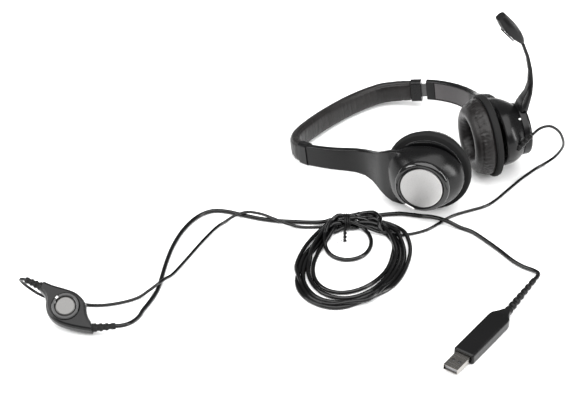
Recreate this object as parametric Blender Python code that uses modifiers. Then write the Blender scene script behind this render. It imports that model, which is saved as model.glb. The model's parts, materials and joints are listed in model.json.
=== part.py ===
"""Wired office headset, lying on its side on a table with its cord, in-line volume control and plug.

Frames used below:
  table frame    X from the headband's crown to the foot of the ear cups, Y from the near cup to the far cup, Z up
  arch frame     the plane of the headband, tipped so that the crown's lower edge rests on the table
  cup frame      one per ear cup: X towards the foot of the cup, Z along the cup's axis, outwards
"""
import math

import bmesh
import bpy
from mathutils import Matrix, Vector

MM = 0.001
GAP = 0.3 * MM                       # clearance between pieces that touch

# ---- where the headset lies --------------------------------------------------------------------
ORIGIN_SHIFT = Vector((52.71, -5.55, 0.0)) * MM      # puts the origin under the middle of the headset
ARCH_TIP = math.radians(9.85)        # the arch plane falls towards the crown
CUP_HEIGHT = 35.0 * MM               # the ring centres above the table
CUP_HALF_SPAN = 36.5 * MM            # each ring centre from the middle plane
CUP_TOE_IN = math.radians(30.4)

# ---- ear cups, in the cup frame (radius, height along the outward axis) --------------------------
RING_RADIUS = 35.0 * MM
RING_INNER_RADIUS = 25.6 * MM
RING_FRONT, RING_BACK = -2.7 * MM, 3.0 * MM
PAD_FRONT, PAD_BACK = -17.6 * MM, -3.0 * MM
PAD_OUTER_RADIUS = 32.6 * MM
PAD_HOLE_RADIUS = 15.7 * MM
DRIVER_RADIUS = 20.0 * MM
BACK_RADIUS = 29.5 * MM
SWIVEL_HEIGHT = 11.0 * MM            # the swivel pin's place along the cup's axis
SWIVEL_PIN_RADIUS = 1.5 * MM
BOSS_HALF_WIDTH = 6.0 * MM
POCKET_HALF_LENGTH = 9.0 * MM
DOME_BASE = 7.3 * MM
DOME_TOP = 25.5 * MM
TRIM_OUTER_RADIUS = 22.4 * MM
TRIM_INNER_RADIUS = 17.6 * MM
TRIM_TOP = 30.4 * MM
BADGE_RADIUS = 17.25 * MM
BADGE_TOP = 31.25 * MM

# ---- headband ------------------------------------------------------------------------------------
BAND_WIDTH = 18.6 * MM
BAND_THICKNESS = 8.6 * MM
CHANNEL_WIDTH = 14.4 * MM
CHANNEL_THICKNESS = 4.6 * MM
STRIP_WIDTH = 12.6 * MM
STRIP_THICKNESS = 1.4 * MM
STRIP_REACH = 4.0 * MM               # how far each strip is let into its arm
COLLAR_LENGTH = 9.4 * MM
ARM_THICKNESS = 5.2 * MM
FAR_EXTENSION = 5.5 * MM             # how far the far arm stands out of the band
NEAR_ARM_START = -103.9 * MM         # the near arm is pushed right in, and meets its collar here
# outer face of the band with its collars in the arch plane, near end to far end (mm)
BAND_OUTLINE = [(-104.4, -74.6), (-114.0, -74.3), (-123.0, -72.2), (-131.0, -66.6), (-137.6, -55.5),
                (-142.2, -38.0), (-145.3, -12.0), (-145.0, 20.0), (-139.0, 48.0), (-128.0, 62.6),
                (-117.2, 71.4), (-109.1, 77.0)]
# outer face of each arm in its cup's frame: along the cup, out along its axis, half width (mm)
NEAR_ARM = [(-109.2, -20.6, 9.3), (-97.0, -17.3, 9.6), (-89.0, -15.4, 9.8), (-81.0, -14.2, 10.0), (-73.0, -13.4, 10.3),
            (-65.0, -12.2, 10.8), (-57.0, -9.2, 11.8), (-50.0, -4.0, 13.6), (-45.0, 1.2, 15.8), (-41.0, 5.4, 18.0),
            (-36.0, 9.6, 20.8), (-30.0, 13.0, 23.2), (-22.0, 15.6, 24.2), (-12.0, 16.4, 24.2)]
FAR_ARM = [(-111.6, -15.6, 9.3), (-106.5, -9.0, 9.4), (-100.5, -3.2, 9.5), (-94.0, 1.8, 9.6), (-87.0, 6.0, 9.8),
           (-77.0, 10.2, 10.3), (-66.0, 12.4, 11.4), (-57.0, 13.0, 13.0), (-50.0, 13.2, 15.0), (-43.0, 13.4, 18.0),
           (-36.0, 13.9, 20.8), (-30.0, 14.6, 23.0), (-22.0, 15.6, 24.2), (-12.0, 16.4, 24.2)]

# ---- microphone boom, in the far cup's frame: out along the axis, towards the front (mm) ------------
HUB_OUTER_RADIUS = 22.2 * MM
HUB_TOP = 33.0 * MM
BOOM_OFFSET = 3.0 * MM               # the boom stands this far towards the cup's foot
BOOM_PATH = [(30.0, 19.5, 9.0, 3.4), (31.3, 23.0, 8.4, 3.9), (33.9, 27.5, 6.8, 3.7), (37.4, 33.5, 4.9, 2.9),
             (39.7, 42.0, 3.5, 2.1), (40.1, 53.0, 2.7, 1.6), (38.6, 65.0, 2.3, 1.35), (35.3, 77.0, 2.1, 1.25)]
MIC_PATH = [(34.8, 78.4, 2.6, 1.6), (33.0, 82.0, 4.6, 3.2), (30.0, 86.5, 5.8, 4.6), (26.6, 91.2, 6.4, 5.5),
            (23.2, 96.2, 6.6, 5.6), (20.2, 101.2, 6.2, 5.0), (17.9, 105.3, 5.2, 4.0)]

# ---- cords: route points on the table (mm), height last ----------------------------------------------
THIN_RADIUS = 1.2 * MM
THICK_RADIUS = 1.7 * MM
THIN_TO_COIL = [(37.5, 47.95, 47.6), (41.0, 53.8, 53.2), (46.0, 60.5, 54.4), (50.5, 66.8, 48.5), (51.3, 72.5, 38.5),
                (48.8, 77.5, 28.5), (43.6, 80.8, 18.5), (37.6, 81.5, 9.0), (32.6, 77.5, 3.0), (30.6, 69.0, 1.3),
                (31.0, 56.4, 1.3), (31.8, 44.0, 1.3), (33.8, 27.9, 1.3), (36.3, 6.5, 1.3), (35.4, -6.0, 1.3),
                (30.6, -19.3, 1.3), (26.4, -31.7, 1.3), (25.0, -41.0, 1.3), (24.8, -50.0, 1.3), (24.2, -61.3, 1.3),
                (21.5, -71.5, 1.3)]
THIN_TO_POD = [(-39.5, -121.0, 1.3), (-47.0, -131.0, 1.3), (-55.0, -137.0, 1.8), (-62.0, -141.0, 4.0),
               (-70.0, -144.5, 5.5), (-82.0, -147.5, 5.6), (-92.0, -154.0, 5.5), (-97.0, -163.0, 3.6),
               (-98.5, -172.0, 1.6), (-98.0, -182.0, 1.3), (-92.0, -203.0, 1.3), (-83.0, -229.0, 1.3),
               (-76.5, -248.0, 1.8), (-73.2, -259.0, 4.8), (-71.6, -267.0, 5.6), (-71.6, -276.0, 4.2),
               (-73.6, -287.0, 1.5), (-79.0, -301.0, 1.3), (-88.0, -314.0, 1.3), (-101.0, -324.0, 1.3),
               (-115.0, -330.0, 1.3), (-127.0, -334.5, 1.3), (-135.5, -338.6, 3.5), (-140.4, -344.0, 9.5),
               (-140.2, -349.5, 17.5), (-135.2, -353.8, 25.0), (-129.4, -354.5, 28.1), (-124.5, -352.5, 27.1)]
THICK_TO_COIL = [(-52.7, -325.0, 8.1), (-49.8, -321.4, 8.2), (-49.2, -313.5, 6.8), (-53.4, -303.0, 3.6),
                 (-58.8, -293.8, 2.0), (-63.0, -283.5, 1.8), (-69.0, -271.0, 1.8), (-77.0, -260.0, 1.8),
                 (-91.0, -242.0, 1.8), (-104.0, -223.0, 1.8), (-114.0, -203.0, 1.8), (-119.0, -184.0, 1.8),
                 (-117.0, -170.0, 1.8), (-108.0, -161.5, 1.8), (-94.0, -155.0, 1.8), (-80.0, -148.0, 1.8),
                 (-67.0, -139.0, 1.8), (-53.0, -127.0, 1.8), (-43.0, -117.5, 1.8)]
THICK_TO_PLUG = [(-12.0, -67.0, 2.2), (-3.0, -59.5, 1.8), (8.0, -53.5, 2.0), (16.5, -50.2, 3.8), (25.0, -47.8, 4.7),
                 (33.0, -45.2, 3.8), (41.0, -42.6, 1.9),
                 (52.0, -40.0, 1.8), (69.0, -41.5, 1.8), (86.0, -44.0, 1.8), (99.0, -46.4, 1.8), (109.5, -46.5, 1.8),
                 (118.5, -45.2, 2.4), (124.6, -46.5, 3.4), (127.4, -51.5, 4.2), (128.5, -56.8, 4.6)]
COIL_CENTRE = Vector((11.0, -134.0, 0.0)) * MM
COIL_HALF_LENGTH, COIL_HALF_WIDTH = 60.0 * MM, 44.0 * MM
COIL_TURN = math.radians(-78.0)      # the coil's long axis on the table
COIL_BAND = 17.0 * MM
COIL_HEIGHT = 7.6 * MM

# ---- in-line volume control ---------------------------------------------------------------------------
POD_PLACE = Vector((-87.7, -343.8, 15.1)) * MM
POD_TILT = math.radians(31.0)
VIEW_SIDE = math.radians(-44.7)      # the face of the control looks this way across the table
# the control's outline seen from its face (mm): one side and then the other, between the two cord arms
POD_SIDES = [[(19.45, -11.2), (17.2, -7.5), (15.8, -3.0), (14.9, 3.0), (11.8, 7.9), (6.4, 12.3), (-1.0, 15.1),
              (-10.0, 17.8), (-17.1, 20.8)],
             [(-20.5, 13.6), (-17.2, 10.5), (-15.5, 6.0), (-15.3, 1.0), (-14.0, -4.0), (-11.0, -8.6), (-6.0, -12.5),
              (1.0, -15.3), (10.5, -17.6), (20.15, -19.2)]]
DIAL_RADIUS, DIAL_INNER_RADIUS = 10.6 * MM, 7.8 * MM
BUTTON_RADIUS = 7.4 * MM
# each cord boot on the control: where it starts (mm), which way it points (degrees), its length
POD_BOOTS = {"pod_boot_out": ((20.1, -15.17), 5.0, 17.4 * MM), "pod_boot_in": ((-19.07, 17.33), 155.0, 13.9 * MM)}
BUTTON_TRAVEL = 0.8 * MM

# ---- plug -----------------------------------------------------------------------------------------------
PLUG_FRONT = Vector((149.3, -164.5, 0.0)) * MM
PLUG_HEADING = math.atan2(-63.5, 10.3)
PLUG_BOOT_BEND = math.radians(4.0)   # the long boot stands a little off the plug's axis
PLUG_LENGTH, PLUG_THICKNESS = 62.0 * MM, 9.0 * MM
SHELL_LENGTH, SHELL_WIDTH, SHELL_THICKNESS = 18.0 * MM, 12.0 * MM, 4.5 * MM
SHELL_WALL = 0.35 * MM

model = bpy.data.collections.new("office_headset")
cutters = bpy.data.collections.new("cutters")


# ---- materials ------------------------------------------------------------------------------------------
MATERIALS = {
    "satin_black": ((0.022, 0.022, 0.023), 0.38, 0.0),
    "gloss_black": ((0.010, 0.010, 0.011), 0.08, 0.0),
    "matte_black": ((0.018, 0.018, 0.018), 0.75, 0.0),
    "leatherette": ((0.030, 0.026, 0.025), 0.50, 0.0),
    "foam": ((0.012, 0.012, 0.012), 0.95, 0.0),
    "brushed_silver": ((0.62, 0.61, 0.60), 0.30, 1.0),
    "steel": ((0.60, 0.60, 0.60), 0.25, 1.0),
    "rubber": ((0.016, 0.016, 0.016), 0.55, 0.0),
    "white_print": ((0.80, 0.80, 0.80), 0.50, 0.0),
    "driver_grey": ((0.20, 0.20, 0.21), 0.45, 0.0),
}


def material(name):
    if name in bpy.data.materials:
        return bpy.data.materials[name]
    color, roughness, metallic = MATERIALS[name]
    mat = bpy.data.materials.new(name)
    mat.use_nodes = True
    shader = mat.node_tree.nodes["Principled BSDF"]
    shader.inputs["Base Color"].default_value = (*color, 1.0)
    shader.inputs["Roughness"].default_value = roughness
    shader.inputs["Metallic"].default_value = metallic
    return mat


# ---- small tools ------------------------------------------------------------------------------------------
def clear_scene():
    for obj in list(bpy.data.objects):
        bpy.data.objects.remove(obj, do_unlink=True)


def frame(name, parent=None, matrix=None):
    """An empty that carries a group of pieces, such as everything on one ear cup's axis."""
    empty = bpy.data.objects.new(name, None)
    model.objects.link(empty)
    empty.parent = parent
    if matrix is not None:
        empty.matrix_local = matrix
    return empty


def add(name, mesh, finish, parent, matrix=None, smooth=40.0):
    """Puts one named piece into the model."""
    obj = bpy.data.objects.new(name, mesh)
    model.objects.link(obj)
    obj.parent = parent
    if matrix is not None:
        obj.matrix_local = matrix
    mesh.materials.clear()
    mesh.materials.append(material(finish))
    mesh.shade_smooth()
    mesh.set_sharp_from_angle(angle=math.radians(smooth))
    return obj


def cutter(mesh, parent, matrix=None):
    """A shape that is only cut away or joined on; it is not a piece."""
    obj = bpy.data.objects.new("cutter", mesh)
    cutters.objects.link(obj)
    obj.parent = parent
    if matrix is not None:
        obj.matrix_local = matrix
    obj.hide_render = True
    obj.display_type = "WIRE"
    return obj


def boolean(obj, tool, operation="DIFFERENCE", solver="EXACT"):
    mod = obj.modifiers.new(operation.lower(), "BOOLEAN")
    mod.operation = operation
    mod.object = tool
    mod.solver = solver


def bevel(obj, width, segments=2, angle=35.0):
    mod = obj.modifiers.new("edges", "BEVEL")
    mod.width = width
    mod.segments = segments
    mod.limit_method = "ANGLE"
    mod.angle_limit = math.radians(angle)


def mesh_from(bm, name="piece"):
    mesh = bpy.data.meshes.new(name)
    bmesh.ops.recalc_face_normals(bm, faces=bm.faces)
    bm.to_mesh(mesh)
    bm.free()
    return mesh


def box(size, centre=(0.0, 0.0, 0.0)):
    bm = bmesh.new()
    bmesh.ops.create_cube(bm, size=1.0, matrix=Matrix.Translation(centre) @ Matrix.Diagonal((*size, 1.0)))
    return mesh_from(bm, "box")


def cylinder(radius, depth, matrix=None, segments=32):
    bm = bmesh.new()
    bmesh.ops.create_cone(bm, cap_ends=True, segments=segments, radius1=radius, radius2=radius, depth=depth,
                          matrix=matrix or Matrix.Identity(4))
    return mesh_from(bm, "cylinder")


def turned(name, profile, finish, parent, closed, steps=64, matrix=None):
    """A lathe shape round the frame's Z axis. The profile is (radius, height) and runs down its outer side."""
    mesh = bpy.data.meshes.new(name)
    points = [(r, 0.0, z) for r, z in profile]
    edges = [(i, i + 1) for i in range(len(points) - 1)]
    if closed:
        edges.append((len(points) - 1, 0))
    mesh.from_pydata(points, edges, [])
    obj = add(name, mesh, finish, parent, matrix)
    mod = obj.modifiers.new("turn", "SCREW")
    mod.axis = "Z"
    mod.steps = mod.render_steps = steps
    mod.use_merge_vertices = True
    mod.merge_threshold = 0.00001
    mod.use_smooth_shade = True
    return obj


def arc(cx, cz, radius, start, end, count):
    """Points on a circular arc of a profile, angles in degrees from +radius towards +height."""
    angles = [math.radians(start + (end - start) * i / (count - 1)) for i in range(count)]
    return [(cx + radius * math.cos(a), cz + radius * math.sin(a)) for a in angles]


def loft(sections):
    """A closed solid through rings of equally many points, with a flat face at each end."""
    bm = bmesh.new()
    rings = [[bm.verts.new(p) for p in section] for section in sections]
    count = len(rings[0])
    for low, high in zip(rings, rings[1:]):
        for i in range(count):
            j = (i + 1) % count
            bm.faces.new((low[i], low[j], high[j], high[i]))
    bm.faces.new(list(reversed(rings[0])))
    bm.faces.new(rings[-1])
    return mesh_from(bm, "loft")


def rounded_rectangle(half_x, half_y, radius, corner_points=4):
    points = []
    for k, (sx, sy) in enumerate(((1, 1), (-1, 1), (-1, -1), (1, -1))):
        cx, cy = sx * (half_x - radius), sy * (half_y - radius)
        for i in range(corner_points):
            a = math.radians(90.0 * k + 90.0 * i / (corner_points - 1))
            points.append((cx + radius * math.cos(a), cy + radius * math.sin(a)))
    return points


def track(points):
    """A smooth curve through the given points, as close-set places with their distance along it."""
    pts = [Vector(p) for p in points]
    ends = [pts[0] * 2 - pts[1]] + pts + [pts[-1] * 2 - pts[-2]]
    fine = []
    for a, b, c, d in zip(ends, ends[1:], ends[2:], ends[3:]):
        for i in range(16):
            t = i / 16.0
            fine.append(0.5 * ((2 * b) + (c - a) * t + (2 * a - 5 * b + 4 * c - d) * t ** 2
                               + (3 * b - a - 3 * c + d) * t ** 3))
    fine.append(pts[-1])
    lengths = [0.0]
    for a, b in zip(fine, fine[1:]):
        lengths.append(lengths[-1] + (b - a).length)
    return fine, lengths


def places(curve, start, end, spacing):
    """Evenly spaced (place, direction) pairs along a track between two distances."""
    fine, lengths = curve
    count = max(2, round((end - start) / spacing) + 1)
    result, k = [], 0
    for i in range(count):
        want = start + (end - start) * i / (count - 1)
        while k < len(fine) - 2 and lengths[k + 1] < want:
            k += 1
        share = (want - lengths[k]) / (lengths[k + 1] - lengths[k])
        low, high = fine[max(k - 3, 0)], fine[min(k + 4, len(fine) - 1)]
        result.append((fine[k].lerp(fine[k + 1], share), (high - low).normalized()))
    return result


def strap_section(place, along, half_width, thickness, corner, depth=0.0):
    """(place across the strap's thickness, distance across its width) pairs; the head is on the inner side."""
    side = Vector((along.y, -along.x))
    section = []
    for w, d in rounded_rectangle(half_width, thickness / 2, corner):
        section.append((place + side * (depth + thickness / 2 - d), w))
    return section


def tube(name, points, radius, finish, parent):
    """A cord: one round bevelled curve with closed ends."""
    curve = bpy.data.curves.new(name, "CURVE")
    curve.dimensions = "3D"
    curve.bevel_depth = radius
    curve.bevel_resolution = 2
    curve.use_fill_caps = True
    spline = curve.splines.new("POLY")
    spline.points.add(len(points) - 1)
    for target, point in zip(spline.points, points):
        target.co = (*point, 1.0)
    obj = bpy.data.objects.new(name, curve)
    model.objects.link(obj)
    obj.parent = parent
    curve.materials.append(material(finish))
    return obj


def basis(x_axis, z_axis, origin):
    """A matrix whose X and Z point the given ways."""
    z = Vector(z_axis).normalized()
    x = Vector(x_axis)
    x = (x - z * x.dot(z)).normalized()
    y = z.cross(x)
    matrix = Matrix((x, y, z)).transposed().to_4x4()
    matrix.translation = Vector(origin)
    return matrix


# ---- headband ------------------------------------------------------------------------------------------------
def band_sections(start, end, half_width, thickness, corner, depth=0.0, spacing=11.0 * MM):
    """Sections of a strap that follows the band's outline, depth under its outer face."""
    sections = []
    for place, along in places(BAND_TRACK, start, end, spacing):
        flat = strap_section(place, along, half_width, thickness, corner, depth)
        sections.append([Vector((p.x, p.y, w)) for p, w in flat])
    return sections


BAND_TRACK = track([Vector(p) * MM for p in BAND_OUTLINE])
BAND_LENGTH = BAND_TRACK[1][-1]


def make_headband(arch):
    start, end = COLLAR_LENGTH + GAP, BAND_LENGTH - COLLAR_LENGTH - GAP
    cover = add("headband_cover", loft(band_sections(start, end, BAND_WIDTH / 2, BAND_THICKNESS, 3.4 * MM)),
                "leatherette", arch)
    channel = band_sections(start - 2 * MM, end + 2 * MM, CHANNEL_WIDTH / 2, CHANNEL_THICKNESS, 0.8 * MM,
                            (BAND_THICKNESS - CHANNEL_THICKNESS) / 2)
    boolean(cover, cutter(loft(channel), arch))
    core = band_sections(38.0 * MM, BAND_LENGTH - 38.0 * MM, STRIP_WIDTH / 2, STRIP_THICKNESS, 0.3 * MM,
                         (BAND_THICKNESS - STRIP_THICKNESS) / 2)
    add("headband_core", loft(core), "steel", arch)


def slide_direction(collar, towards):
    """The straight line that one arm slides along: from inside the padded band out through the collar."""
    return (Vector(collar) - Vector(towards)).normalized()


NEAR_SLIDE_END = Vector((-104.4, -70.3)) * MM
FAR_SLIDE_END = Vector((-106.5, 73.6)) * MM
NEAR_SLIDE = slide_direction(NEAR_SLIDE_END, Vector((-128.6, -64.2)) * MM)
FAR_SLIDE = slide_direction(FAR_SLIDE_END, Vector((-126.0, 58.2)) * MM)


def strip_matrix(end, direction):
    """X along the slide, Y up out of the arch plane, at the collar's outer end."""
    return basis((direction.x, direction.y, 0.0), Vector((direction.x, direction.y, 0.0)).cross((0.0, 0.0, 1.0)),
                 (end.x, end.y, 0.0))


def make_collar(name, start, end, slide_end, direction, arch):
    sections = band_sections(start, end, BAND_WIDTH / 2 + 0.3 * MM, BAND_THICKNESS, 2.2 * MM, 0.0, 3.0 * MM)
    collar = add(name, loft(sections), "satin_black", arch)
    slot = box((60.0 * MM, STRIP_WIDTH + 0.8 * MM, STRIP_THICKNESS + 0.8 * MM), (-3.0 * MM, 0.0, 0.0))
    strip_way = cutter(slot, arch, strip_matrix(slide_end, direction))
    boolean(collar, strip_way)
    boolean(bpy.data.objects["headband_cover"], strip_way)


def make_strip(name, end, direction, outward, inside, reach, arch):
    """The flat slide strip: it is fixed in the arm and runs in the collar and the band."""
    length = inside + reach
    mesh = box((length, STRIP_WIDTH, STRIP_THICKNESS), (outward + reach - length / 2, 0.0, 0.0))
    strip = add(name, mesh, "steel", arch, strip_matrix(end, direction))
    bevel(strip, 0.3 * MM, 1)


# ---- arms and housings ----------------------------------------------------------------------------------------
def arm_sections(stations, corner, thickness=ARM_THICKNESS, depth=0.0):
    """Sections of one arm in its cup's frame, where Y is across the arm and Z is out along the cup's axis."""
    sections = []
    for (x, z, half_width), (low, high) in zip(stations, neighbours(stations)):
        along = Vector((high[0] - low[0], high[1] - low[1])).normalized()
        flat = strap_section(Vector((x, z)) * MM, along, half_width * MM, thickness, corner, depth)
        sections.append([Vector((p.x, w, p.y)) for p, w in flat])
    return sections


def neighbours(stations):
    last = len(stations) - 1
    return [(stations[max(i - 1, 0)], stations[min(i + 1, last)]) for i in range(len(stations))]


def dome_outline(rx, ry, power, height, count=36):
    """A housing outline: an ellipse towards the cup's foot, and squarer towards the arm."""
    points = []
    for i in range(count):
        a = 2 * math.pi * i / count
        c, s = math.cos(a), math.sin(a)
        p = power if c < 0 else 2.0
        points.append(Vector((rx * math.copysign(abs(c) ** (2 / p), c), ry * math.copysign(abs(s) ** (2 / p), s),
                              height)))
    return points


DOME_STATIONS = [(7.3, 30.2, 25.8, 3.0), (8.6, 31.0, 26.6, 3.0), (12.0, 30.9, 26.5, 3.0), (15.5, 29.8, 26.1, 2.8),
                 (19.0, 27.6, 25.1, 2.6), (22.0, 25.2, 23.9, 2.3), (24.4, 23.0, 22.6, 2.1), (25.5, 21.9, 21.9, 2.0)]


def make_yoke(side, stations, cup):
    """Arm and round housing, moulded as one piece."""
    yoke = add("yoke_" + side, loft(arm_sections(stations, 1.5 * MM)), "satin_black", cup)
    dome = loft([dome_outline(rx * MM, ry * MM, power, z * MM) for z, rx, ry, power in DOME_STATIONS])
    boolean(yoke, cutter(dome, cup), "UNION")
    pocket_depth = SWIVEL_HEIGHT + 5.6 * MM - DOME_BASE
    pocket = box((2 * POCKET_HALF_LENGTH, 2 * (BOSS_HALF_WIDTH + 0.4 * MM), 2 * pocket_depth), (0.0, 0.0, DOME_BASE))
    boolean(yoke, cutter(pocket, cup))
    across = Matrix.Translation((0.0, 0.0, SWIVEL_HEIGHT)) @ Matrix.Rotation(math.pi / 2, 4, "X")
    boolean(yoke, cutter(cylinder(SWIVEL_PIN_RADIUS + GAP, 21.0 * MM, across, 24), cup))
    return yoke


def make_arm_cover(side, yoke, stations, cup, first=1, last=7):
    """The plate that closes the arm's inner face, let into a shallow recess."""
    used = stations[first:last]
    recess = [(x, z, w - 1.6) for x, z, w in used]
    boolean(yoke, cutter(loft(arm_sections(recess, 0.3 * MM, 2.4 * MM, ARM_THICKNESS - 1.3 * MM)), cup))
    plate = [(x, z, w - 1.9) for x, z, w in used]
    sections = arm_sections(plate, 0.3 * MM, 0.9 * MM, ARM_THICKNESS - 1.0 * MM)
    sections[0] = [p + (q - p) * 0.05 for p, q in zip(sections[0], sections[1])]
    sections[-1] = [p + (q - p) * 0.05 for p, q in zip(sections[-1], sections[-2])]
    add("arm_cover_" + side, loft(sections), "matte_black", cup)


def make_swivel_pin(side, cup):
    across = Matrix.Translation((0.0, 0.0, SWIVEL_HEIGHT)) @ Matrix.Rotation(math.pi / 2, 4, "X")
    pin = add("swivel_pin_" + side, cylinder(SWIVEL_PIN_RADIUS, 20.0 * MM, None, 24), "steel", cup, across)
    bevel(pin, 0.3 * MM, 1)


def make_badge(side, cup):
    """The flat silver disc, slightly crowned at its edge."""
    profile = [(0.0, BADGE_TOP), (BADGE_RADIUS - 0.9 * MM, BADGE_TOP), (BADGE_RADIUS - 0.2 * MM, BADGE_TOP - 0.25 * MM),
               (BADGE_RADIUS, BADGE_TOP - 0.8 * MM), (BADGE_RADIUS, DOME_TOP + GAP), (0.0, DOME_TOP + GAP)]
    turned("badge_" + side, profile, "brushed_silver", cup, closed=False, steps=38)


def make_trim_ring(cup):
    low = DOME_TOP + GAP
    profile = [(TRIM_INNER_RADIUS, low), (TRIM_INNER_RADIUS, TRIM_TOP - 0.6 * MM), (18.2 * MM, TRIM_TOP)]
    profile += arc(19.0 * MM, TRIM_TOP - 3.4 * MM, 3.4 * MM, 90.0, 0.0, 6) + [(TRIM_OUTER_RADIUS, low)]
    ring = turned("trim_ring_near", profile, "gloss_black", cup, closed=True, steps=38)
    place = (Matrix.Rotation(math.radians(237.0), 4, "Z") @ Matrix.Translation((21.3 * MM, 0.0, TRIM_TOP - 0.9 * MM))
             @ Matrix.Rotation(math.radians(42.0), 4, "Y"))
    boolean(ring, cutter(box((3.8 * MM, 9.2 * MM, 2.4 * MM)), cup, place))
    inlay = add("ring_inlay_near", box((3.2 * MM, 8.6 * MM, 1.6 * MM), (0.0, 0.0, -0.1 * MM)), "brushed_silver", cup, place)
    bevel(inlay, 0.4 * MM, 2)


# ---- ear cups ----------------------------------------------------------------------------------------------------
def make_cup(side, cup):
    pad = [(32.0 * MM, PAD_BACK), (PAD_OUTER_RADIUS, -5.0 * MM), (31.6 * MM, -8.0 * MM), (30.0 * MM, -11.5 * MM),
           (27.8 * MM, -14.8 * MM), (25.0 * MM, -17.0 * MM), (22.4 * MM, PAD_FRONT), (19.6 * MM, -17.0 * MM),
           (17.2 * MM, -14.8 * MM), (PAD_HOLE_RADIUS, -11.0 * MM), (PAD_HOLE_RADIUS, -6.5 * MM), (16.6 * MM, PAD_BACK)]
    turned("ear_pad_" + side, pad, "leatherette", cup, closed=True, steps=32)
    ring = [(RING_INNER_RADIUS, RING_BACK), (33.4 * MM, RING_BACK), (34.6 * MM, 2.2 * MM), (RING_RADIUS, 0.9 * MM),
            (RING_RADIUS, -1.4 * MM), (34.2 * MM, RING_FRONT), (RING_INNER_RADIUS, RING_FRONT)]
    turned("cup_ring_" + side, ring, "matte_black", cup, closed=True, steps=42)
    baffle = [(0.0, -1.0 * MM), (RING_INNER_RADIUS - GAP, -1.0 * MM), (RING_INNER_RADIUS - GAP, RING_FRONT),
              (0.0, RING_FRONT)]
    turned("baffle_" + side, baffle, "matte_black", cup, closed=False, steps=32)
    foam = [(0.0, -3.0 * MM), (15.2 * MM, -3.0 * MM), (15.2 * MM, -4.4 * MM), (12.0 * MM, -4.9 * MM), (0.0, -5.2 * MM)]
    turned("foam_disc_" + side, foam, "foam", cup, closed=False, steps=24)
    driver = [(0.0, 2.7 * MM), (11.0 * MM, 2.7 * MM), (13.0 * MM, 1.6 * MM), (DRIVER_RADIUS, 1.0 * MM),
              (DRIVER_RADIUS, -0.7 * MM), (0.0, -0.7 * MM)]
    turned("driver_" + side, driver, "driver_grey", cup, closed=False, steps=32)
    back = [(0.0, 6.2 * MM), (11.0 * MM, 6.2 * MM), (27.6 * MM, 4.6 * MM), (BACK_RADIUS, 3.9 * MM), (BACK_RADIUS, 3.3 * MM),
            (0.0, 3.3 * MM)]
    shell = turned("cup_back_" + side, back, "gloss_black", cup, closed=False, steps=34)
    boss = rounded_rectangle(3.6 * MM, 6.0 * MM, 3.5 * MM, 5)
    solid = loft([[Vector((x, y, z + 9.2 * MM)) for x, z in boss] for y in (-BOSS_HALF_WIDTH, BOSS_HALF_WIDTH)])
    boolean(shell, cutter(solid, cup), "UNION")
    across = Matrix.Translation((0.0, 0.0, SWIVEL_HEIGHT)) @ Matrix.Rotation(math.pi / 2, 4, "X")
    boolean(shell, cutter(cylinder(SWIVEL_PIN_RADIUS + GAP, 21.0 * MM, across, 24), cup))


# ---- microphone boom ------------------------------------------------------------------------------------------------
def boom_sections(path, front, corner_share=0.75):
    """Sections of the boom. The path gives height, distance forwards, half width and half thickness."""
    sections = []
    for i, (h, r, half_width, half_thickness) in enumerate(path):
        low, high = path[max(i - 1, 0)], path[min(i + 1, len(path) - 1)]
        along = Vector((high[0] - low[0], high[1] - low[1])).normalized()
        across = Vector((along.y, -along.x))
        corner = corner_share * half_thickness
        section = []
        for x, d in rounded_rectangle(half_width, half_thickness, corner, 3):
            height, forward = h + across.x * d, r + across.y * d
            section.append(Vector((x * MM, front * forward * MM, height * MM)) + Vector((BOOM_OFFSET, 0.0, 0.0)))
        sections.append(section)
    return sections


def make_boom(cup, front):
    low = DOME_TOP + GAP
    profile = [(TRIM_INNER_RADIUS, low), (TRIM_INNER_RADIUS, HUB_TOP - 1.0 * MM), (18.2 * MM, HUB_TOP)]
    profile += arc(19.8 * MM, HUB_TOP - 2.4 * MM, 2.4 * MM, 90.0, 0.0, 5) + [(HUB_OUTER_RADIUS, low)]
    boom = turned("mic_boom", profile, "satin_black", cup, closed=True, steps=34)
    blade = cutter(loft(boom_sections(BOOM_PATH, front)), cup)
    core = cylinder(19.3 * MM, 30.0 * MM, Matrix.Translation((0.0, 0.0, HUB_TOP + 0.7 * MM)), 46)
    boolean(blade, cutter(core, cup))
    boolean(boom, blade, "UNION", "MANIFOLD")
    head = add("mic_housing", loft(boom_sections(MIC_PATH, front)), "satin_black", cup)
    h, r = MIC_PATH[3][0], MIC_PATH[3][1]
    toward = Vector((BOOM_OFFSET / MM, front * r, h)) * MM
    direction = Vector((0.0, -front * 0.62, -0.78)).normalized()
    place = basis((1.0, 0.0, 0.0), direction, toward + direction * 3.6 * MM)
    boolean(head, cutter(box((8.6 * MM, 13.0 * MM, 6.0 * MM), (0.0, 0.0, 2.0 * MM)), cup, place))
    grille = add("mic_grille", box((8.0 * MM, 12.4 * MM, 1.0 * MM), (0.0, 0.0, 1.8 * MM)), "matte_black", cup, place)
    for i in range(4):
        slot = box((5.6 * MM, 1.0 * MM, 3.0 * MM), (0.0, (i - 1.5) * 2.4 * MM, 1.8 * MM))
        boolean(grille, cutter(slot, cup, place))
    capsule_place = place @ Matrix.Translation((0.0, 0.0, 0.1 * MM))
    add("mic_capsule", cylinder(3.0 * MM, 1.9 * MM, None, 28), "steel", cup, capsule_place)


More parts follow.
